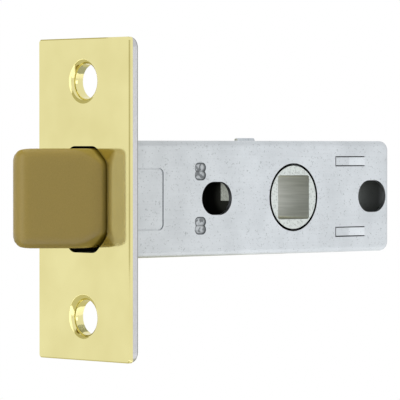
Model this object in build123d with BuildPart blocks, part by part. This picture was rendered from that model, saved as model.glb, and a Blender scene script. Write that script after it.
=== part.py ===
# Tubular mortise door latch with a bevelled spring bolt, drawn steel case and square-spindle follower.
# Millimetres. Origin at the centre of the faceplate's front face, +X into the door, +Z up.
# The spindle runs along Y and the bolt stands out towards -X.
import os
from math import cos, pi, radians, sin, tan

from build123d import *

os.makedirs("parts", exist_ok=True)

# Forend: a polished faceplate over a plain backing plate
forend_height = 57.0
forend_width = 24.2
faceplate_thickness = 0.8
faceplate_corner = 0.6
faceplate_edge = 0.2
backing_thickness = 1.2
backing_corner = 2.0
screw_spacing = 41.8
screw_hole = 6.1
lip_width = 1.2
lip_depth = 1.4
collar_wall = 0.8
collar_proud = 0.6
collar_clearance = 0.05
cutout_width = 12.5
cutout_height = 18.85
cutout_chamfer_width = 3.1
cutout_chamfer_height = 2.85
cutout_corner = 2.2

# Case: a drawn tray and a cover let in flush on its far side
case_width = 15.3
case_height = 20.8
case_end = 70.95
case_corner = 1.8
wall = 0.8
bend_inside = 0.35
seat_clearance = 0.03
lug_length = 4.6
lug_centre = 46.9
lug_proud = 0.55
lug_round = 0.5
slot_length = 7.5
slot_width = 6.0
front_slot_centre = 25.4
rear_slot_centre = 66.0
panel_end = 12.25
panel_height = 11.1
panel_corner = 1.1
panel_groove = 0.3
panel_depth = 0.25

# Coined dimples in the near wall, and lanced tabs in both walls that stop the slider
dimple_centre = 21.3
dimple_height = 4.87
dimple_length = 2.8
dimple_lobe = 1.9
dimple_pitch = 1.35
dimple_depth = 0.45
dimple_taper = 50
lance_front = 56.1
lance_root = 64.0
lance_ramp = 3.6
lance_width = 1.5
lance_height = 6.6
lance_depth = 0.6
lance_shear = 0.2
lance_gap = 0.8

# Bolt
bolt_throw = 12.5
bolt_width = 12.1
bolt_height = 17.5
bolt_rise = 0.25
bolt_tail = 9.2
bevel_angle = 36.0
nose_radius = 2.5
root_radius = 4.4
bolt_chamfer_width = 2.9
bolt_chamfer_height = 2.6
bolt_corner = 2.2
bolt_edge = 1.1
bolt_travel = 12.0

# Slider: a U of folded sheet, riveted behind the bolt
slider_wall = 0.9
slider_width = 13.1
slider_bend = 0.6
slider_clearance = 0.2
slider_slot = 6.4
fork_height = 12.4
fork_front = 27.0
stop_gap = 0.5

# Follower and the bars that it pushes
follower_centre = 45.0
follower_hole = 12.55
journal_clearance = 0.45
follower_body = 12.4
follower_gap = 0.3
spindle_square = 8.1
spindle_corner = 0.5
horn_radius = 9.42
horn_width = 2.6
horn_lean = 41.0
bar_thickness = 2.5
bar_height = 2.3
bar_tenon = 1.4
drive_gap = 0.75

# Springs, their plate and the rivets
spring_height = 6.3
spring_diameter = 4.0
spring_wire = 0.4
spring_turns = 6
spring_steps = 9
spring_seat_gap = 0.05
spring_plate_front = 34.2
spring_plate_thickness = 1.0
spring_plate_width = 10.4
tenon_width = 5.0
spigot_length = 1.5
spigot_clearance = 0.2
rivet_shank = 2.4
rivet_depth = 4.5
rivet_head_height = 1.0
rivet_clearance = 0.05

# Places that follow from the sizes above
forend_back = faceplate_thickness + backing_thickness
collar_end = forend_back + collar_proud
inner_height = case_height - 2 * wall
inner_end = case_end - wall
bend_outside = bend_inside + wall
slider_height = inner_height - 2 * slider_clearance
slider_inner_width = slider_width - 2 * slider_wall
slider_inside = bolt_tail + slider_wall
slider_end = lance_front + lance_gap - stop_gap - bolt_travel
journal = follower_hole - 2 * journal_clearance
horn_span = slider_inner_width - 2 * follower_gap
bar_bottom = slider_height / 2 - bar_height
bar_front = follower_centre - bar_bottom * tan(radians(horn_lean)) + drive_gap
spring_bore = spring_diameter - spring_wire
spigot = spring_bore - 2 * spigot_clearance

front_plane = Plane(origin=(0, 0, 0), x_dir=(0, -1, 0), z_dir=(-1, 0, 0))
near_plane = Plane.XZ.offset(case_width / 2)
far_plane = Plane.XZ.offset(-case_width / 2)
sides = {"upper": 1, "lower": -1}


# Openings that both side walls share: the follower's hole and the two fixing slots
def wall_openings(plane):
    with BuildSketch(plane) as openings:
        with Locations((follower_centre, 0)):
            Circle(follower_hole / 2)
        with Locations((front_slot_centre, 0), (rear_slot_centre, 0)):
            SlotOverall(slot_length, slot_width)
    return openings.sketch


# Clear strips in a side wall that leave room for its lanced tabs
def lance_windows(plane):
    with BuildSketch(plane) as windows:
        with Locations((lance_front, lance_height), (lance_front, -lance_height)):
            Rectangle(
                lance_root - lance_front,
                lance_width + 2 * lance_shear,
                align=(Align.MIN, Align.CENTER),
            )
    return windows.sketch


# A lanced tab seen from above: rooted in the wall, ramped inwards, then level up to its sheared end
def lance_tab(side, height):
    outer = side * case_width / 2
    inner = outer - side * wall
    step = side * lance_depth
    ramp_end = lance_root - lance_ramp
    with BuildSketch(Plane.XY.offset(height - lance_width / 2)) as tab:
        with BuildLine():
            Polyline(
                (lance_root, outer),
                (ramp_end, outer - step),
                (lance_front + lance_gap, outer - step),
                (lance_front + lance_gap, inner - step),
                (ramp_end, inner - step),
                (lance_root, inner),
                close=True,
            )
        make_face()
    return tab.sketch


# Section of the bolt and of its cut-out: a tall rectangle with long chamfers and soft corners
def soft_octagon(plane, width, height, chamfer_width, chamfer_height, corner):
    flat_end = width / 2 - chamfer_width
    side_end = height / 2 - chamfer_height
    with BuildSketch(plane) as octagon:
        with BuildLine():
            Polyline(
                (flat_end, height / 2),
                (width / 2, side_end),
                (width / 2, -side_end),
                (flat_end, -height / 2),
                (-flat_end, -height / 2),
                (-width / 2, -side_end),
                (-width / 2, side_end),
                (-flat_end, height / 2),
                close=True,
            )
        make_face()
        fillet(octagon.vertices(), corner)
    return octagon.sketch


# Faceplate: thin sheet with soft front edges and two round-lipped collars pressed through the backing
with BuildPart() as faceplate:
    with BuildSketch(front_plane):
        RectangleRounded(forend_width, forend_height, faceplate_corner)
    extrude(amount=-faceplate_thickness)
    chamfer(faceplate.faces().sort_by(Axis.X)[0].outer_wire().edges(), faceplate_edge)
    cutout = soft_octagon(
        front_plane, cutout_width, cutout_height, cutout_chamfer_width, cutout_chamfer_height, cutout_corner
    )
    extrude(cutout, amount=-faceplate_thickness, mode=Mode.SUBTRACT)
    with BuildSketch(front_plane.offset(-faceplate_thickness)):
        with GridLocations(0, screw_spacing, 1, 2):
            Circle(screw_hole / 2 + collar_wall)
    extrude(amount=faceplate_thickness - collar_end)
    for side in sides.values():
        with BuildSketch(Plane.XY.offset(side * screw_spacing / 2)):
            with BuildLine():
                lip_start = (0, screw_hole / 2 + lip_width)
                lip_end = (lip_depth, screw_hole / 2)
                Spline(lip_start, lip_end, tangents=((0, -1), (1, 0)))
                Polyline(lip_end, (collar_end, screw_hole / 2), (collar_end, 0), (0, 0), lip_start)
            make_face()
        revolve(axis=Axis((0, 0, side * screw_spacing / 2), (1, 0, 0)), mode=Mode.SUBTRACT)
faceplate.part.label = "faceplate"
export_step(faceplate.part, "parts/faceplate.step")

# Backing plate: stiff sheet with a window that seats the case and holes for the collars
with BuildPart() as backing_plate:
    with BuildSketch(Plane.YZ.offset(faceplate_thickness)):
        RectangleRounded(forend_width, forend_height, backing_corner)
        Rectangle(case_width + 2 * seat_clearance, case_height + 2 * seat_clearance, mode=Mode.SUBTRACT)
        with GridLocations(0, screw_spacing, 1, 2):
            Circle(screw_hole / 2 + collar_wall + collar_clearance, mode=Mode.SUBTRACT)
    extrude(amount=backing_thickness)
backing_plate.part.label = "backing_plate"
export_step(backing_plate.part, "parts/backing_plate.step")

# Case body: near wall, top, bottom and end drawn from one sheet, open at the bolt and on the far side
with BuildPart() as case_body:
    with BuildSketch(near_plane) as case_side:
        with Locations((faceplate_thickness, 0)):
            Rectangle(case_end - faceplate_thickness, case_height, align=(Align.MIN, Align.CENTER))
        fillet(case_side.vertices().group_by(Axis.X)[-1], case_corner)
    extrude(amount=-case_width)
    near_face = case_body.faces().sort_by(Axis.Y)[0]
    fillet(near_face.edges().sort_by(Axis.X)[1:], bend_outside)
    open_faces = [case_body.faces().sort_by(Axis.X)[0], case_body.faces().sort_by(Axis.Y)[-1]]
    offset(amount=-wall, openings=open_faces)

    # Notches for the cover's lugs and the spring plate's tenons, through top and bottom
    with BuildSketch(Plane.XY.offset(-case_height / 2)):
        with Locations((lug_centre, case_width / 2)):
            Rectangle(lug_length + 2 * seat_clearance, wall, align=(Align.CENTER, Align.MAX))
        with Locations((spring_plate_front + spring_plate_thickness / 2, 0)):
            Rectangle(spring_plate_thickness + 2 * seat_clearance, tenon_width + 2 * seat_clearance)
    extrude(amount=case_height, mode=Mode.SUBTRACT)

    extrude(wall_openings(near_plane), amount=-bend_outside, mode=Mode.SUBTRACT)
    extrude(lance_windows(near_plane), amount=-wall, mode=Mode.SUBTRACT)
    for height in (lance_height, -lance_height):
        extrude(lance_tab(-1, height), amount=lance_width)

    # Each dimple is two sloping lobes, one above the other
    for height in (dimple_height, -dimple_height):
        for rise in (dimple_pitch / 2, -dimple_pitch / 2):
            with BuildSketch(near_plane):
                with Locations((dimple_centre, height + rise)):
                    SlotOverall(dimple_length, dimple_lobe)
            extrude(amount=-dimple_depth, taper=dimple_taper, mode=Mode.SUBTRACT)

    # A shallow pressed line frames the panel behind the faceplate
    with BuildSketch(near_plane) as panel:
        with Locations((forend_back, 0)):
            Rectangle(panel_end - forend_back, panel_height, align=(Align.MIN, Align.CENTER))
        fillet(panel.vertices().group_by(Axis.X)[-1], panel_corner)
        with BuildSketch(near_plane, mode=Mode.PRIVATE) as panel_core:
            core_length = panel_end - panel_groove - forend_back
            with Locations((forend_back, 0)):
                Rectangle(core_length, panel_height - 2 * panel_groove, align=(Align.MIN, Align.CENTER))
            fillet(panel_core.vertices().group_by(Axis.X)[-1], panel_corner - panel_groove)
        add(panel_core.sketch, mode=Mode.SUBTRACT)
    extrude(amount=-panel_depth, mode=Mode.SUBTRACT)
case_body.part.label = "case_body"
export_step(case_body.part, "parts/case_body.step")

# Case cover: flat far wall between the tray's walls, with two lugs peened over in the notches
with BuildPart() as case_cover:
    with BuildSketch(far_plane) as cover_side:
        with Locations((faceplate_thickness, 0)):
            Rectangle(
                inner_end - seat_clearance - faceplate_thickness,
                inner_height - 2 * seat_clearance,
                align=(Align.MIN, Align.CENTER),
            )
        fillet(cover_side.vertices().group_by(Axis.X)[-1], case_corner - wall)
        with Locations((lug_centre, 0)):
            Rectangle(lug_length, case_height + 2 * lug_proud)
    extrude(amount=wall)
    extrude(wall_openings(far_plane), amount=wall, mode=Mode.SUBTRACT)
    extrude(lance_windows(far_plane), amount=wall, mode=Mode.SUBTRACT)
    for height in (lance_height, -lance_height):
        extrude(lance_tab(1, height), amount=lance_width)
    lug_ends = case_cover.edges().filter_by(Axis.Y).sort_by(Axis.Z)
    fillet(lug_ends[:2] + lug_ends[-2:], lug_round)
case_cover.part.label = "case_cover"
export_step(case_cover.part, "parts/case_cover.step")

# Spring plate: fixed across the case by flush tenons, with a spigot inside each spring
with BuildPart() as spring_plate:
    with BuildSketch(Plane.YZ.offset(spring_plate_front)):
        Rectangle(spring_plate_width, inner_height - 2 * slider_clearance)
        Rectangle(tenon_width, case_height)
    extrude(amount=spring_plate_thickness)
    with BuildSketch(Plane.YZ.offset(spring_plate_front)):
        with GridLocations(0, 2 * spring_height, 1, 2):
            Circle(spigot / 2)
    extrude(amount=-spigot_length)
spring_plate.part.label = "spring_plate"
export_step(spring_plate.part, "parts/spring_plate.step")

# Latch bolt: bevelled nose in plan with soft edges, chamfered in section, blind rivet holes in its tail
nose_centre = nose_radius - bolt_throw
apex = nose_centre - nose_radius / tan(radians(bevel_angle / 2))
bevel_root = apex + bolt_width / tan(radians(bevel_angle))
with BuildPart() as latch_bolt:
    with BuildSketch(Plane.XY.offset(bolt_rise - bolt_height / 2)) as bolt_plan:
        with BuildLine():
            Polyline(
                (bolt_tail, -bolt_width / 2),
                (bevel_root, -bolt_width / 2),
                (apex, bolt_width / 2),
                (bolt_tail, bolt_width / 2),
                close=True,
            )
        make_face()
        fillet(bolt_plan.vertices().sort_by(Axis.X)[0], nose_radius)
        fillet(bolt_plan.vertices().sort_by_distance((bevel_root, -bolt_width / 2))[0], root_radius)
    extrude(amount=bolt_height)
    rims = latch_bolt.faces().sort_by(Axis.Z)
    soft_edges = rims[0].edges() + rims[-1].edges()
    fillet([edge for edge in soft_edges if edge not in soft_edges.filter_by(Axis.Y)], bolt_edge)
    tail_plane = Plane(origin=(bolt_tail, 0, bolt_rise), x_dir=(0, 1, 0), z_dir=(1, 0, 0))
    section = soft_octagon(
        tail_plane, bolt_width, bolt_height, bolt_chamfer_width, bolt_chamfer_height, bolt_corner
    )
    extrude(section, amount=-(bolt_tail + bolt_throw), mode=Mode.INTERSECT)
    with BuildSketch(Plane.YZ.offset(bolt_tail)):
        with GridLocations(0, 2 * spring_height, 1, 2):
            Circle(rivet_shank / 2 + rivet_clearance)
    extrude(amount=-rivet_depth, mode=Mode.SUBTRACT)
latch_bolt.part.label = "latch_bolt"
export_step(latch_bolt.part, "parts/latch_bolt.step")

# Slider: web behind the bolt and two legs along the case, slotted for the fixing screw and forked at the follower
with BuildPart() as slider:
    with BuildSketch(Plane.XY.offset(-slider_height / 2)) as slider_plan:
        with Locations((bolt_tail, 0)):
            Rectangle(slider_end - bolt_tail, slider_width, align=(Align.MIN, Align.CENTER))
        fillet(slider_plan.vertices().group_by(Axis.X)[0], slider_bend + slider_wall)
        with BuildSketch(Plane.XY.offset(-slider_height / 2), mode=Mode.PRIVATE) as channel:
            with Locations((slider_inside, 0)):
                Rectangle(slider_end - slider_inside, slider_inner_width, align=(Align.MIN, Align.CENTER))
            fillet(channel.vertices().group_by(Axis.X)[0], slider_bend)
        add(channel.sketch, mode=Mode.SUBTRACT)
    extrude(amount=slider_height)
    with BuildSketch(Plane.XZ.offset(slider_width / 2)):
        with Locations((slider_inside, 0)):
            Rectangle(slider_end - slider_inside, slider_slot, align=(Align.MIN, Align.CENTER))
        with Locations((fork_front, 0)):
            Rectangle(slider_end - fork_front, fork_height, align=(Align.MIN, Align.CENTER))
    extrude(amount=-slider_width, mode=Mode.SUBTRACT)
    with BuildSketch(Plane.XZ.offset(slider_width / 2)):
        with Locations((bar_front + bar_thickness / 2, 0)):
            with GridLocations(0, slider_height - bar_height, 1, 2):
                Rectangle(bar_tenon + 2 * seat_clearance, bar_tenon + 2 * seat_clearance)
    extrude(amount=-slider_width, mode=Mode.SUBTRACT)
    with BuildSketch(Plane.YZ.offset(bolt_tail)):
        with GridLocations(0, 2 * spring_height, 1, 2):
            Circle(rivet_shank / 2 + rivet_clearance)
    extrude(amount=slider_wall, mode=Mode.SUBTRACT)
slider.part.label = "slider"
export_step(slider.part, "parts/slider.step")

# Rivets that hold the slider to the bolt; each head also centres a spring
for name, side in sides.items():
    with BuildPart() as bolt_rivet:
        with BuildSketch(Plane.YZ.offset(slider_inside)):
            with Locations((0, side * spring_height)):
                Circle(spigot / 2)
        extrude(amount=rivet_head_height)
        with BuildSketch(Plane.YZ.offset(slider_inside)):
            with Locations((0, side * spring_height)):
                Circle(rivet_shank / 2)
        extrude(amount=-(slider_wall + rivet_depth))
    bolt_rivet.part.label = f"{name}_bolt_rivet"
    export_step(bolt_rivet.part, f"parts/{name}_bolt_rivet.step")

# Drive bars: square bars across the slider's legs, their tenons flush in the legs
for name, side in sides.items():
    with BuildPart() as drive_bar:
        with BuildSketch(Plane.XZ.offset(slider_inner_width / 2)):
            with Locations((bar_front + bar_thickness / 2, side * (slider_height - bar_height) / 2)):
                Rectangle(bar_thickness, bar_height)
        extrude(amount=-slider_inner_width)
        with BuildSketch(Plane.XZ.offset(slider_width / 2)):
            with Locations((bar_front + bar_thickness / 2, side * (slider_height - bar_height) / 2)):
                Rectangle(bar_tenon, bar_tenon)
        extrude(amount=-slider_width)
    drive_bar.part.label = f"{name}_drive_bar"
    export_step(drive_bar.part, f"parts/{name}_drive_bar.step")

# Bolt springs: open coils in short straight runs, between the slider's web and the spring plate
coil_start = slider_inside + spring_wire + spring_seat_gap
coil_end = spring_plate_front - spring_wire - spring_seat_gap
step_angle = 2 * pi / spring_steps
step_length = (coil_end - coil_start) / (spring_turns * spring_steps)
for name, side in sides.items():
    coil_points = [
        (
            coil_start + step * step_length,
            spring_diameter / 2 * cos(step * step_angle),
            side * spring_height + spring_diameter / 2 * sin(step * step_angle),
        )
        for step in range(spring_turns * spring_steps + 1)
    ]
    with BuildPart() as spring:
        with BuildLine() as coil:
            Polyline(*coil_points)
        with BuildSketch(Plane(origin=coil.line @ 0, z_dir=coil.line % 0)):
            Rectangle(spring_wire, spring_wire)
        sweep(path=coil.line, transition=Transition.RIGHT)
    spring.part.label = f"{name}_spring"
    export_step(spring.part, f"parts/{name}_spring.step")

# Follower: journals in both walls, a square spindle hole and two horns that lean towards the bolt
with BuildPart() as follower:
    with BuildSketch(Plane.XZ.offset(horn_span / 2)):
        with Locations((follower_centre, 0)):
            Rectangle(horn_width, horn_radius, rotation=horn_lean, align=(Align.MAX, Align.MIN))
            Rectangle(horn_width, horn_radius, rotation=-horn_lean, align=(Align.MAX, Align.MAX))
            Circle(horn_radius, mode=Mode.INTERSECT)
            Circle(follower_body / 2)
    extrude(amount=-horn_span)
    with BuildSketch(near_plane):
        with Locations((follower_centre, 0)):
            Circle(journal / 2)
    extrude(amount=-case_width)
    with BuildSketch(near_plane):
        with Locations((follower_centre, 0)):
            RectangleRounded(spindle_square, spindle_square, spindle_corner)
    extrude(amount=-case_width, mode=Mode.SUBTRACT)
follower.part.label = "follower"
export_step(follower.part, "parts/follower.step")
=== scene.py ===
import math

import bpy
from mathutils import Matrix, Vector


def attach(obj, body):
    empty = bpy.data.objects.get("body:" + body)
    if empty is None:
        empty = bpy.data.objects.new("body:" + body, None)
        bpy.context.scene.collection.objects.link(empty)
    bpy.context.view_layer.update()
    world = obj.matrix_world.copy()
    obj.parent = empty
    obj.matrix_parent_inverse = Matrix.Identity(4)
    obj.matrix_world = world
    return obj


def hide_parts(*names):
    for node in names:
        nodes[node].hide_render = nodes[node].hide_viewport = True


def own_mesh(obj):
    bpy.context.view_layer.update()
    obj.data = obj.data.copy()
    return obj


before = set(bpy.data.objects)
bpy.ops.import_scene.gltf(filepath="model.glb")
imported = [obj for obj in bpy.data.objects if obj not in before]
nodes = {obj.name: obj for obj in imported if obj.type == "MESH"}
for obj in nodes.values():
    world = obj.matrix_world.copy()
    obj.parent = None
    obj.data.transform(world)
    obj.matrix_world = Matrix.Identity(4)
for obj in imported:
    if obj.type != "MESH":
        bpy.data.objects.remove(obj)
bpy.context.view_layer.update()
scene = bpy.context.scene
scene.view_settings.view_transform = "Standard"
print("frame loaded with", len(nodes), "nodes")

mm = 0.001


def hexLinear(code):  # sRGB hex to linear RGBA
    values = [int(code[i:i + 2], 16) / 255 for i in (1, 3, 5)]
    return [v / 12.92 if v <= 0.04045 else ((v + 0.055) / 1.055) ** 2.4 for v in values] + [1.0]


def outputOf(source):  # a node stands for its first output in use
    if isinstance(source, bpy.types.Node):
        return next(output for output in source.outputs if output.enabled)
    return source


# One node with its settings and links: an input is a value, a node or an output, a tone is a hex or a grey
def addNode(tree, kind, settings=None, inputs=None, stops=None):
    node = tree.nodes.new("ShaderNode" + kind)
    for name, value in (settings or {}).items():
        setattr(node, name, value)
    for socket, value in (inputs or {}).items():
        source = outputOf(value)
        if isinstance(source, bpy.types.NodeSocket):
            tree.links.new(source, node.inputs[socket])
        else:
            node.inputs[socket].default_value = source
    if stops:
        elements = node.color_ramp.elements
        while len(elements) < len(stops):
            elements.new(0.5)
        for element, (place, tone) in zip(elements, stops):
            element.position = place
            element.color = hexLinear(tone) if isinstance(tone, str) else (tone, tone, tone, 1.0)
    return node


def newMaterial(name, metallic):
    material = bpy.data.materials.new(name)
    material.use_nodes = True
    tree = material.node_tree
    shader = tree.nodes["Principled BSDF"]
    shader.inputs["Metallic"].default_value = metallic
    return material, tree, shader


# Colour, roughness and bump go to the shader; the roughness runs between the look's two values
def finishSurface(tree, shader, look, colour, sheen, height):
    rough = addNode(tree, "MapRange", {},
                    {"Value": sheen, "To Min": look["rough"][0], "To Max": look["rough"][1]})
    bump = addNode(tree, "Bump", {}, {"Height": height, "Strength": 1.0, "Distance": look["bump"] * mm})
    for socket, source in (("Base Color", colour), ("Roughness", rough), ("Normal", bump)):
        tree.links.new(outputOf(source), shader.inputs[socket])


def seenRays(tree):  # 1 for what the eye, mirrors and glass see, 0 for light that falls on things
    rays = addNode(tree, "LightPath").outputs
    direct = addNode(tree, "Math", {"operation": "MAXIMUM"},
                     {0: rays["Is Camera Ray"], 1: rays["Is Glossy Ray"]})
    return addNode(tree, "Math", {"operation": "MAXIMUM"}, {0: direct, 1: rays["Is Transmission Ray"]})


# Brass plate on sheet steel, polished: a mirror with faint buffing lines down the plate,
# drawn coarser than real ones so that they show
def polishedBrassPlate():
    look = {"tones": [(0.3, "#E1D899"), (0.7, "#E9E1A3")], "wave": 9.0, "line": 0.3,
            "stretch": (1.0, 1.0, 0.04), "rough": (0.03, 0.09), "bump": 0.0004}  # sizes in mm
    material, tree, shader = newMaterial("polishedBrassPlate", 1.0)
    coords = addNode(tree, "TexCoord").outputs["Object"]
    cloud = addNode(tree, "TexNoise", {},
                    {"Vector": coords, "Scale": 1 / (look["wave"] * mm), "Detail": 2.0})
    colour = addNode(tree, "ValToRGB", {}, {"Fac": cloud}, look["tones"])
    along = addNode(tree, "Mapping", {}, {"Vector": coords, "Scale": look["stretch"]})
    buff = addNode(tree, "TexNoise", {}, {"Vector": along, "Scale": 1 / (look["line"] * mm), "Detail": 3.0})
    finishSurface(tree, shader, look, colour, buff, buff)
    return material


# Hot-dip galvanised sheet, rolled: pale grey with fine dark specks and a few rubbed lines,
# with painted shade near the plate, in its pressed marks, inside the case and round the follower's hole
def galvanisedSheet():
    look = {"tones": [(0.35, "#C3C8CC"), (0.62, "#CED3D7")], "dark": "#7F8587", "plateShade": "#EDECEA",
            "cloud": 5.0, "speck": 0.3, "rub": 0.35, "stretch": (0.03, 1.0, 1.0), "rubShare": 0.25,
            "noSpeck": 0.38, "fullSpeck": 0.28, "speckMost": 0.6, "plateShadeFull": 6.0, "unshaded": 36.0,
            "holeReach": 6.7, "rough": (0.32, 0.5), "bump": 0.008}  # sizes and places in mm
    material, tree, shader = newMaterial("galvanisedSheet", 1.0)
    coords = addNode(tree, "TexCoord").outputs["Object"]
    cloud = addNode(tree, "TexNoise", {},
                    {"Vector": coords, "Scale": 1 / (look["cloud"] * mm), "Detail": 3.0})
    speck = addNode(tree, "TexNoise", {},
                    {"Vector": coords, "Scale": 1 / (look["speck"] * mm), "Detail": 2.0})
    along = addNode(tree, "Mapping", {}, {"Vector": coords, "Scale": look["stretch"]})
    rub = addNode(tree, "TexNoise", {}, {"Vector": along, "Scale": 1 / (look["rub"] * mm), "Detail": 2.0})
    tone = addNode(tree, "Mix", {"data_type": "FLOAT"}, {"Factor": look["rubShare"], "A": cloud, "B": rub})
    plain = addNode(tree, "ValToRGB", {}, {"Fac": tone}, look["tones"])
    dots = addNode(tree, "MapRange", {}, {"Value": speck, "From Min": look["noSpeck"],
                                          "From Max": look["fullSpeck"], "To Max": look["speckMost"]})
    speckled = addNode(tree, "Mix", {"data_type": "RGBA"},
                       {"Factor": dots, "A": plain, "B": hexLinear(look["dark"])})
    place = addNode(tree, "SeparateXYZ", {}, {"Vector": coords}).outputs
    # Painted shade: the sheet is darkened near the plate and fades out further along
    plateShadeShare = addNode(tree, "MapRange", {}, {"Value": place["X"], "From Min": look["plateShadeFull"] * mm,
                                             "From Max": look["unshaded"] * mm, "To Min": 1.0, "To Max": 0.0})
    plateShaded = addNode(tree, "Mix", {"data_type": "RGBA", "blend_type": "MULTIPLY"},
                     {"Factor": plateShadeShare, "A": speckled, "B": hexLinear(look["plateShade"])})
    insideShaded = shadedInside(tree, coords, shadedMarks(tree, coords, plateShaded))
    colour = shadedRing(tree, coords, insideShaded, "LESS_THAN", look["holeReach"])
    finishSurface(tree, shader, look, colour, speck, tone)
    return material


def shadedMarks(tree, coords, colour):  # painted shade in the pressed marks, uneven and darkest under their rims
    mark = {"markShade": "#3E4244", "blotch": 0.7, "face": -7.65, "floor": -7.15, "sheet": -7.0, "centre": 21.3,
            "half": 1.6, "low": 3.1, "high": 7.0, "rim": 20.2, "rimEnd": 20.6}  # sizes and places in mm
    # Shares of the painted shade: from the face down to the floor, in the blotches and at the front rim
    share = {"down": [(0.0, 0.0), (0.02, 0.0), (0.08, 1.0), (0.3, 0.9), (0.6, 0.4), (1.0, 0.12)],
             "noBlotch": 0.44, "fullBlotch": 0.62, "blotchMost": 0.75, "rimMost": 0.85, "pressed": 0.05}
    place = addNode(tree, "SeparateXYZ", {}, {"Vector": coords}).outputs
    depth = addNode(tree, "MapRange", {}, {"Value": place["Y"], "From Min": mark["face"] * mm,
                                           "From Max": mark["floor"] * mm})
    depthShade = addNode(tree, "ValToRGB", {}, {"Fac": depth}, share["down"])
    blotch = addNode(tree, "TexNoise", {},
                     {"Vector": coords, "Scale": 1 / (mark["blotch"] * mm), "Detail": 1.0})
    uneven = addNode(tree, "MapRange", {}, {"Value": blotch, "From Min": share["noBlotch"],
                                            "From Max": share["fullBlotch"], "To Max": share["blotchMost"]})
    front = addNode(tree, "MapRange", {},
                    {"Value": place["X"], "From Min": mark["rim"] * mm, "From Max": mark["rimEnd"] * mm,
                     "To Min": share["rimMost"], "To Max": 0.0})
    either = addNode(tree, "Math", {"operation": "MAXIMUM"}, {0: uneven, 1: front})
    pressed = addNode(tree, "Math", {"operation": "GREATER_THAN"}, {0: depth, 1: share["pressed"]})
    patches = addNode(tree, "Math", {"operation": "MULTIPLY"}, {0: either, 1: pressed})
    factor = addNode(tree, "Math", {"operation": "MAXIMUM"}, {0: depthShade, 1: patches})
    fromCentre = addNode(tree, "Math", {"operation": "SUBTRACT"}, {0: place["X"], 1: mark["centre"] * mm})
    aside = addNode(tree, "Math", {"operation": "ABSOLUTE"}, {0: fromCentre})
    upright = addNode(tree, "Math", {"operation": "ABSOLUTE"}, {0: place["Z"]})
    limits = [(aside, "LESS_THAN", "half"), (upright, "GREATER_THAN", "low"),
              (upright, "LESS_THAN", "high"), (place["Y"], "LESS_THAN", "sheet")]
    for value, test, limit in limits:
        within = addNode(tree, "Math", {"operation": test}, {0: value, 1: mark[limit] * mm})
        factor = addNode(tree, "Math", {"operation": "MULTIPLY"}, {0: factor, 1: within})
    return addNode(tree, "Mix", {"data_type": "RGBA"},
                   {"Factor": factor, "A": colour, "B": hexLinear(mark["markShade"])})


def shadedInside(tree, coords, colour):  # painted shade on what lies deeper than the case's walls, lighter by its end
    inside = {"shadeTone": "#454940", "across": (5.4, 6.7), "upright": (9.62, 9.75), "along": (70.2, 70.4),
              "thinning": (69.2, 70.0), "thin": 0.72}  # places where the grease fades, in mm
    place = addNode(tree, "SeparateXYZ", {}, {"Vector": coords}).outputs
    across = addNode(tree, "Math", {"operation": "ABSOLUTE"}, {0: place["Y"]})
    upright = addNode(tree, "Math", {"operation": "ABSOLUTE"}, {0: place["Z"]})
    fades = [(across, "across", 0.0), (upright, "upright", 0.0), (place["X"], "along", 0.0),
             (place["X"], "thinning", inside["thin"])]
    factor = 1.0
    for value, span, left in fades:
        start, stop = inside[span]
        fade = addNode(tree, "MapRange", {}, {"Value": value, "From Min": start * mm, "From Max": stop * mm,
                                              "To Min": 1.0, "To Max": left})
        factor = addNode(tree, "Math", {"operation": "MULTIPLY"}, {0: factor, 1: fade})
    return addNode(tree, "Mix", {"data_type": "RGBA"},
                   {"Factor": factor, "A": colour, "B": hexLinear(inside["shadeTone"])})


# Painted shade in the gap round the follower; the test says on which side of the reach, a radius in mm
def shadedRing(tree, coords, colour, test, reach):
    ring = {"shadeTone": "#1A1B17", "centre": 45.0, "full": 7.52, "gone": 7.6}  # places in mm
    place = addNode(tree, "SeparateXYZ", {}, {"Vector": coords}).outputs
    fromCentre = addNode(tree, "Math", {"operation": "SUBTRACT"}, {0: place["X"], 1: ring["centre"] * mm})
    flat = addNode(tree, "CombineXYZ", {}, {"X": fromCentre, "Z": place["Z"]})
    radius = addNode(tree, "VectorMath", {"operation": "LENGTH"}, {0: flat})
    side = addNode(tree, "Math", {"operation": test}, {0: radius, 1: reach * mm})
    across = addNode(tree, "Math", {"operation": "ABSOLUTE"}, {0: place["Y"]})
    sunk = addNode(tree, "MapRange", {}, {"Value": across, "From Min": ring["full"] * mm,
                                          "From Max": ring["gone"] * mm, "To Min": 1.0, "To Max": 0.0})
    factor = addNode(tree, "Math", {"operation": "MULTIPLY"}, {0: sunk, 1: side})
    return addNode(tree, "Mix", {"data_type": "RGBA"},
                   {"Factor": factor, "A": colour, "B": hexLinear(ring["shadeTone"])})


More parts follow.
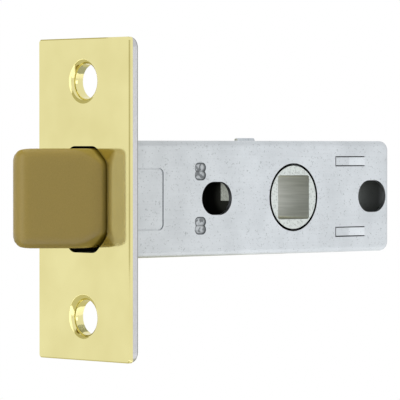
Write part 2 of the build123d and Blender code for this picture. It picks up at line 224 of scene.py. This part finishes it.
# Zinc plate on sheared sheet: even grey, a little soft, with painted shade as a dark line along its back
# corner, where it meets the case; its grain is drawn coarse enough to show
def zincPlate():
    look = {"tones": [(0.3, "#B8B9BB"), (0.7, "#C4C4C6")], "junctionShade": "#62625C", "grain": 0.3, "corner": 1.82,
            "darkest": 1.92, "back": 1.985, "rough": (0.25, 0.4), "bump": 0.006}  # sizes and places in mm
    material, tree, shader = newMaterial("zincPlate", 1.0)
    coords = addNode(tree, "TexCoord").outputs["Object"]
    grain = addNode(tree, "TexNoise", {},
                    {"Vector": coords, "Scale": 1 / (look["grain"] * mm), "Detail": 3.0})
    plain = addNode(tree, "ValToRGB", {}, {"Fac": grain}, look["tones"])
    place = addNode(tree, "SeparateXYZ", {}, {"Vector": coords}).outputs
    edge = addNode(tree, "MapRange", {}, {"Value": place["X"], "From Min": look["corner"] * mm,
                                          "From Max": look["darkest"] * mm})
    ahead = addNode(tree, "Math", {"operation": "LESS_THAN"}, {0: place["X"], 1: look["back"] * mm})
    corner = addNode(tree, "Math", {"operation": "MULTIPLY"}, {0: edge, 1: ahead})
    colour = addNode(tree, "Mix", {"data_type": "RGBA"},
                     {"Factor": corner, "A": plain, "B": hexLinear(look["junctionShade"])})
    finishSurface(tree, shader, look, colour, grain, grain)
    return material


# Oiled mild steel of the inner pieces: grey-green with rolled streaks along the case, darkened with painted
# shade as they lie inside it
def oiledSteel():
    look = {"tones": [(0.35, "#262822"), (0.7, "#4A4D46")], "streak": 0.25, "stretch": (0.1, 1.0, 1.0),
            "rough": (0.3, 0.45), "bump": 0.006}  # sizes in mm
    material, tree, shader = newMaterial("oiledSteel", 1.0)
    coords = addNode(tree, "TexCoord").outputs["Object"]
    along = addNode(tree, "Mapping", {}, {"Vector": coords, "Scale": look["stretch"]})
    streak = addNode(tree, "TexNoise", {},
                     {"Vector": along, "Scale": 1 / (look["streak"] * mm), "Detail": 3.0})
    colour = addNode(tree, "ValToRGB", {}, {"Fac": streak}, look["tones"])
    finishSurface(tree, shader, look, colour, streak, streak)
    return material


# Bright zinc on the stamped spring plate: it mirrors the far slot in an unshaded patch, and is dark with
# painted shade elsewhere inside the case
def brightZinc():
    look = {"tones": [(0.3, "#898D84"), (0.7, "#A3A79E")], "shadeTone": "#1D1E1A", "streak": 0.4, "low": -0.6,
            "near": 0.5, "end": 9.7, "rough": (0.14, 0.24), "bump": 0.002}  # sizes and places in mm
    material, tree, shader = newMaterial("brightZinc", 1.0)
    coords = addNode(tree, "TexCoord").outputs["Object"]
    streak = addNode(tree, "TexNoise", {},
                     {"Vector": coords, "Scale": 1 / (look["streak"] * mm), "Detail": 2.0})
    plain = addNode(tree, "ValToRGB", {}, {"Fac": streak}, look["tones"])
    place = addNode(tree, "SeparateXYZ", {}, {"Vector": coords}).outputs
    above = addNode(tree, "Math", {"operation": "GREATER_THAN"}, {0: place["Z"], 1: look["low"] * mm})
    near = addNode(tree, "Math", {"operation": "LESS_THAN"}, {0: place["Y"], 1: look["near"] * mm})
    patch = addNode(tree, "Math", {"operation": "MULTIPLY"}, {0: above, 1: near})
    upright = addNode(tree, "Math", {"operation": "ABSOLUTE"}, {0: place["Z"]})
    ends = addNode(tree, "Math", {"operation": "GREATER_THAN"}, {0: upright, 1: look["end"] * mm})
    unshadedPart = addNode(tree, "Math", {"operation": "MAXIMUM"}, {0: patch, 1: ends})
    colour = addNode(tree, "Mix", {"data_type": "RGBA"},
                     {"Factor": unshadedPart, "A": hexLinear(look["shadeTone"]), "B": plain})
    finishSurface(tree, shader, look, colour, streak, streak)
    return material


# Acetal bolt, moulded and gold-tinted: satin khaki with a fine grain, drawn coarse enough to show,
# and darkened with painted shade at its root, where it runs into the plate
def mouldedAcetal():
    look = {"tones": [(0.3, "#897633"), (0.7, "#8F7B38")], "rootShade": "#5F4F14", "grain": 0.18, "noRootShade": -1.1,
            "fullRootShade": -0.2, "index": 1.48, "rough": (0.2, 0.26), "bump": 0.001}  # sizes and places in mm
    material, tree, shader = newMaterial("mouldedAcetal", 0.0)
    shader.inputs["IOR"].default_value = look["index"]
    coords = addNode(tree, "TexCoord").outputs["Object"]
    grain = addNode(tree, "TexNoise", {},
                    {"Vector": coords, "Scale": 1 / (look["grain"] * mm), "Detail": 2.0})
    unshaded = addNode(tree, "ValToRGB", {}, {"Fac": grain}, look["tones"])
    place = addNode(tree, "SeparateXYZ", {}, {"Vector": coords}).outputs
    rootShade = addNode(tree, "MapRange", {"interpolation_type": "SMOOTHSTEP"},
                   {"Value": place["X"], "From Min": look["noRootShade"] * mm, "From Max": look["fullRootShade"] * mm})
    colour = addNode(tree, "Mix", {"data_type": "RGBA"},
                     {"Factor": rootShade, "A": unshaded, "B": hexLinear(look["rootShade"])})
    finishSurface(tree, shader, look, colour, grain, grain)
    return material


# Sintered steel follower, plated: grainy on its faces, sized smooth along the spindle hole;
# the pores and the lines in the hole are coarser than real ones so that they show
def sinteredSteel():
    look = {"tones": [(0.3, "#A5ABA8"), (0.5, "#CDD3D0")], "holeTones": [(0.3, "#C4C7C2"), (0.7, "#D9DBD7")],
            "pore": 0.3, "draw": 0.4, "stretch": (1.0, 0.05, 1.0), "inner": 7.5, "face": 7.62,
            "rimReach": 5.6, "rough": (0.5, 0.36), "bump": 0.006}  # sizes and places in mm
    material, tree, shader = newMaterial("sinteredSteel", 1.0)
    coords = addNode(tree, "TexCoord").outputs["Object"]
    pores = addNode(tree, "TexNoise", {},
                    {"Vector": coords, "Scale": 1 / (look["pore"] * mm), "Detail": 3.0})
    face = addNode(tree, "ValToRGB", {}, {"Fac": pores}, look["tones"])
    along = addNode(tree, "Mapping", {}, {"Vector": coords, "Scale": look["stretch"]})
    drawn = addNode(tree, "TexNoise", {}, {"Vector": along, "Scale": 1 / (look["draw"] * mm), "Detail": 3.0})
    bore = addNode(tree, "ValToRGB", {}, {"Fac": drawn}, look["holeTones"])
    place = addNode(tree, "SeparateXYZ", {}, {"Vector": coords}).outputs
    across = addNode(tree, "Math", {"operation": "ABSOLUTE"}, {0: place["Y"]})
    inner = addNode(tree, "MapRange", {}, {"Value": across, "From Min": look["inner"] * mm,
                                           "From Max": look["face"] * mm, "To Min": 1.0, "To Max": 0.0})
    both = addNode(tree, "Mix", {"data_type": "RGBA"}, {"Factor": inner, "A": face, "B": bore})
    # Painted shade on the follower's rim, in the gap round it
    colour = shadedRing(tree, coords, both, "GREATER_THAN", look["rimReach"])
    finishSurface(tree, shader, look, colour, pores, drawn)
    return material


# Drawn spring wire: dark steel, smooth but for faint marks, drawn coarse enough to show
def drawnSpringWire():
    look = {"tones": [(0.3, "#7C7E82"), (0.7, "#9B9DA0")], "draw": 0.2, "rough": (0.28, 0.36),
            "bump": 0.004}  # sizes in mm
    material, tree, shader = newMaterial("drawnSpringWire", 1.0)
    coords = addNode(tree, "TexCoord").outputs["Object"]
    marks = addNode(tree, "TexNoise", {}, {"Vector": coords, "Scale": 1 / (look["draw"] * mm)})
    colour = addNode(tree, "ValToRGB", {}, {"Fac": marks}, look["tones"])
    finishSurface(tree, shader, look, colour, marks, marks)
    return material


finishes = {
    "polishedBrassPlate": (polishedBrassPlate(), ["faceplate"]),
    "galvanisedSheet": (galvanisedSheet(), ["case_body", "case_cover"]),
    "zincPlate": (zincPlate(), ["backing_plate"]),
    "oiledSteel": (oiledSteel(), ["slider", "upper_bolt_rivet", "lower_bolt_rivet",
                                  "upper_drive_bar", "lower_drive_bar"]),
    "brightZinc": (brightZinc(), ["spring_plate"]),
    "mouldedAcetal": (mouldedAcetal(), ["latch_bolt"]),
    "sinteredSteel": (sinteredSteel(), ["follower"]),
    "drawnSpringWire": (drawnSpringWire(), ["upper_spring", "lower_spring"]),
}
for material, names in finishes.values():
    for name in names:
        for materialSlot in nodes[name].material_slots:
            materialSlot.material = material
print("finishes given to the CAD nodes")


# A CAD node's copy with its triangles joined up; those within flat degrees of each other become one face
def joinedCopy(nodeName, flat):
    bpy.ops.object.select_all(action="DESELECT")
    piece = bpy.data.objects.new(nodeName + "_skin", nodes[nodeName].data.copy())
    scene.collection.objects.link(piece)
    bpy.context.view_layer.objects.active = piece
    piece.select_set(True)
    bpy.ops.object.mode_set(mode="EDIT")
    bpy.ops.mesh.select_all(action="SELECT")
    bpy.ops.mesh.remove_doubles(threshold=0.001 * mm)
    if flat:
        bpy.ops.mesh.dissolve_limited(angle_limit=math.radians(flat))
    bpy.ops.object.mode_set(mode="OBJECT")
    return piece


def applyModifier(piece, kind, settings):
    bpy.context.view_layer.objects.active = piece
    modifier = piece.modifiers.new(kind, kind)
    for name, value in settings.items():
        setattr(modifier, name, value)
    bpy.ops.object.modifier_apply(modifier=kind)


# Sheet pieces and the follower are copied from their CAD nodes, so that each shades as one smooth skin
skins = {
    "faceplate": {"body": "case", "creases": []},
    "case_body": {"body": "case", "creases": [60.4, 64.0]},  # where the lanced tabs bend, in mm
    "case_cover": {"body": "case", "creases": [60.4, 64.0]},
    "backing_plate": {"body": "case", "creases": []},
    "follower": {"body": "follower", "creases": []},
}
skinAngles = {"flat": 0.5, "smooth": 30}  # degrees up to which faces are merged, or shaded as one


def smoothCopy(nodeName, body, creases):
    piece = joinedCopy(nodeName, skinAngles["flat"])
    bpy.ops.object.shade_smooth_by_angle(angle=math.radians(skinAngles["smooth"]))
    for edge in piece.data.edges:
        ends = [piece.data.vertices[i].co for i in edge.vertices]
        if any(all(abs(end.x - crease * mm) < 0.01 * mm for end in ends) for crease in creases):
            edge.use_edge_sharp = True
    applyModifier(piece, "WEIGHTED_NORMAL", {"keep_sharp": True})
    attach(piece, body)
    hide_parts(nodeName)
    return piece


burr = {"from": 55.8, "to": 64.1, "inside": 6.85, "slits": {5.65: 5.848, 7.55: 7.352},
        "within": 0.02}  # in mm


def closeSlits(piece):  # the shear's burr closes the far tabs' slits on the inside, so no daylight shows
    for vertex in piece.data.vertices:
        place = vertex.co / mm
        if burr["from"] < place.x < burr["to"] and abs(place.y - burr["inside"]) < burr["within"]:
            for slit, closed in burr["slits"].items():
                if abs(abs(place.z) - slit) < burr["within"]:
                    vertex.co.z = math.copysign(closed * mm, place.z)


for name, skin in skins.items():
    piece = smoothCopy(name, skin["body"], skin["creases"])
    if name == "case_cover":
        closeSlits(piece)
print("smooth skins made")


# The moulded bolt is remeshed finely and eased, so that its edges run into each other as moulded ones do
softBolt = {"voxel": 0.25, "ease": 0.5, "rounds": 6, "shadeRounds": 90}  # voxel in mm
boltSkin = joinedCopy("latch_bolt", 0)
applyModifier(boltSkin, "REMESH",
              {"mode": "VOXEL", "voxel_size": softBolt["voxel"] * mm, "use_smooth_shade": True})
applyModifier(boltSkin, "SMOOTH", {"factor": softBolt["ease"], "iterations": softBolt["rounds"]})

# Its shading is taken from a softer copy, because the moulded faces are slightly crowned towards their edges
softer = bpy.data.objects.new("softer", boltSkin.data.copy())
scene.collection.objects.link(softer)
applyModifier(softer, "SMOOTH", {"factor": softBolt["ease"], "iterations": softBolt["shadeRounds"]})
applyModifier(boltSkin, "DATA_TRANSFER",
              {"object": softer, "use_loop_data": True, "data_types_loops": {"CUSTOM_NORMAL"},
               "loop_mapping": "TOPOLOGY"})
bpy.data.objects.remove(softer)
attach(boltSkin, "bolt")
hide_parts("latch_bolt")
print("bolt moulded with", len(boltSkin.data.polygons), "faces")


# Springs of round wire: an open coil with a closed turn at each end
spring = {"radius": 2.0, "wire": 0.4, "front": 10.35, "back": 33.95, "height": 6.3,  # sizes in mm
          "turns": 6, "stepsPerTurn": 24, "smooth": 40}  # smooth in degrees


def coilRun(start, length, turns):  # a line wound round X, from a single point
    bpy.ops.mesh.primitive_plane_add(size=1 * mm, location=(0, 0, 0))
    run = bpy.context.active_object
    bpy.ops.object.mode_set(mode="EDIT")
    bpy.ops.mesh.select_all(action="SELECT")
    bpy.ops.mesh.merge(type="CENTER")
    bpy.ops.transform.translate(value=(start * mm, spring["radius"] * mm, 0))
    bpy.ops.object.mode_set(mode="OBJECT")
    steps = spring["stepsPerTurn"] * turns
    applyModifier(run, "SCREW", {"axis": "X", "angle": 2 * math.pi * turns, "screw_offset": length * mm,
                                 "steps": steps, "render_steps": steps})
    return run


def roundSpring(name, side):
    wire = spring["wire"]
    middle = spring["back"] - spring["front"] - 2 * wire
    runs = [(spring["front"], wire, 1), (spring["front"] + wire, middle, spring["turns"]),
            (spring["back"] - wire, wire, 1)]
    bpy.ops.object.select_all(action="DESELECT")
    lines = [coilRun(*run) for run in runs]
    for line in lines:
        line.select_set(True)
    bpy.ops.object.join()
    bpy.ops.object.mode_set(mode="EDIT")
    bpy.ops.mesh.select_all(action="SELECT")
    bpy.ops.mesh.remove_doubles(threshold=0.01 * mm)
    bpy.ops.transform.translate(value=(0, 0, side * spring["height"] * mm))
    bpy.ops.object.mode_set(mode="OBJECT")
    bpy.ops.object.convert(target="CURVE")
    curve = bpy.context.active_object.data
    curve.bevel_depth = wire / 2 * mm
    curve.bevel_resolution = 3
    curve.use_fill_caps = True
    bpy.ops.object.convert(target="MESH")
    piece = bpy.context.active_object
    piece.name = name + "_coil"
    bpy.ops.object.shade_smooth_by_angle(angle=math.radians(spring["smooth"]))
    piece.data.materials.clear()
    piece.data.materials.append(finishes["drawnSpringWire"][0])
    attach(piece, "case")
    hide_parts(name)
    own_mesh(piece)


roundSpring("upper_spring", 1)
roundSpring("lower_spring", -1)
print("springs wound")


# Camera where the photograph was taken, worked out from the outlines
view = {"place": (-381.377, -431.026, 9.094), "lens": 292.88,  # in mm
        "forward": (0.68897, 0.72462, -0.01599)}
cameraData = bpy.data.cameras.new("photoCamera")
cameraData.lens = view["lens"]
cameraData.sensor_width = 36.0
cameraData.clip_start = 0.01
cameraData.clip_end = 20.0
camera = bpy.data.objects.new("photoCamera", cameraData)
scene.collection.objects.link(camera)
camera.location = Vector(view["place"]) * mm
camera.rotation_euler = Vector(view["forward"]).to_track_quat("-Z", "Y").to_euler()
scene.camera = camera
print("camera set")


# Pale floor well under the latch, which the photograph shows held up; the eye and mirrors see it near white
floor = {"height": -90.0, "size": 0.7, "white": "#F4F4F4", "glow": 0.5}  # height in mm, size in metres
bpy.ops.object.select_all(action="DESELECT")
bpy.ops.mesh.primitive_plane_add(size=floor["size"], location=(0, 0, floor["height"] * mm))
floorPiece = bpy.context.active_object
floorPiece.name = "paleFloor"
floorMaterial, tree, shader = newMaterial("matteWhiteFloor", 0.0)
shader.inputs["Base Color"].default_value = hexLinear(floor["white"])
shader.inputs["Roughness"].default_value = 0.9
shader.inputs["Emission Color"].default_value = hexLinear("#FFFFFF")
glow = addNode(tree, "Math", {"operation": "MULTIPLY"}, {0: seenRays(tree), 1: floor["glow"]})
tree.links.new(outputOf(glow), shader.inputs["Emission Strength"])
floorPiece.data.materials.append(floorMaterial)

# Grey and white cards that only mirrors see, for the plate's edges and the holes' lips to mirror
cards = {
    "rearCard": {"place": (-0.725, -0.689, 0.01), "size": 0.12, "tone": "#CFCBB8", "glow": 1.0,
                 "upright": True},
    "whiteCard": {"place": (-0.6, 0.02, 0.0), "size": 0.44, "tone": "#FFFFFF", "glow": 1.55,
                  "upright": True},
    "rightCard": {"place": (0.3, 0.5, 0.0), "size": 0.25, "tone": "#A8A590", "glow": 1.0,
                  "upright": True},
    "highCard": {"place": (-0.12, 0.16, 0.105), "size": 0.29, "tone": "#C4BF9C", "glow": 1.0,
                 "upright": False},
    "lowCard": {"place": (-0.02, 0.16, -0.085), "size": 0.36, "tone": "#D4D0B2", "glow": 1.0,
                "upright": False},
}  # in metres
for name, card in cards.items():
    cardMaterial, tree, shader = newMaterial(name + "Paper", 0.0)
    shader.inputs["Base Color"].default_value = hexLinear("#000000")
    shader.inputs["Roughness"].default_value = 0.9
    shader.inputs["Emission Color"].default_value = hexLinear(card["tone"])
    shader.inputs["Emission Strength"].default_value = card["glow"]
    bpy.ops.object.select_all(action="DESELECT")
    facing = Vector(card["place"]).to_track_quat("Z", "Y").to_euler()
    turn = facing if card["upright"] else (0, 0, math.radians(45))
    bpy.ops.mesh.primitive_plane_add(size=card["size"], location=card["place"], rotation=turn)
    cardPiece = bpy.context.active_object
    cardPiece.name = name
    cardPiece.data.materials.append(cardMaterial)
    cardPiece.visible_camera = False
    cardPiece.visible_diffuse = False
    cardPiece.visible_shadow = False

# White studio world: the eye, mirrors and glass see plain white, and it also lights the latch softly
studio = {"white": "#FFFFFF", "light": 0.28, "seen": 1.0}
world = bpy.data.worlds.new("whiteStudio")
scene.world = world
world.use_nodes = True
tree = world.node_tree
tree.nodes.clear()
soft = addNode(tree, "Background", {}, {"Color": hexLinear(studio["white"]), "Strength": studio["light"]})
plain = addNode(tree, "Background", {}, {"Color": hexLinear(studio["white"]), "Strength": studio["seen"]})
mixed = addNode(tree, "MixShader", {}, {0: seenRays(tree), 1: soft, 2: plain})
addNode(tree, "OutputWorld", {}, {"Surface": mixed})

# Three soft lamps: one from the bolt's side, the strongest overhead and a weak one low on the right
lamps = {
    "boltSide": {"place": (-0.62, 0.02, 0.22), "aim": (-0.005, 0, 0), "size": 0.35, "power": 1.45,
                 "mirrored": False},
    "overhead": {"place": (-0.25, -0.06, 0.6), "aim": (-0.01, 0, 0), "size": 0.4, "power": 3.7,
                 "mirrored": False},
    "rightFront": {"place": (0.3, -0.55, 0.06), "aim": (0.05, 0, 0), "size": 0.2, "power": 0.13,
                   "mirrored": True},
}  # in metres and watts
for name, lamp in lamps.items():
    lampData = bpy.data.lights.new(name, "AREA")
    lampData.size = lamp["size"]
    lampData.energy = lamp["power"]
    lampPiece = bpy.data.objects.new(name, lampData)
    scene.collection.objects.link(lampPiece)
    lampPiece.visible_glossy = lamp["mirrored"]
    lampPiece.location = lamp["place"]
    beam = Vector(lamp["aim"]) - Vector(lamp["place"])
    lampPiece.rotation_euler = beam.to_track_quat("-Z", "Y").to_euler()
print("stage and lamps set")
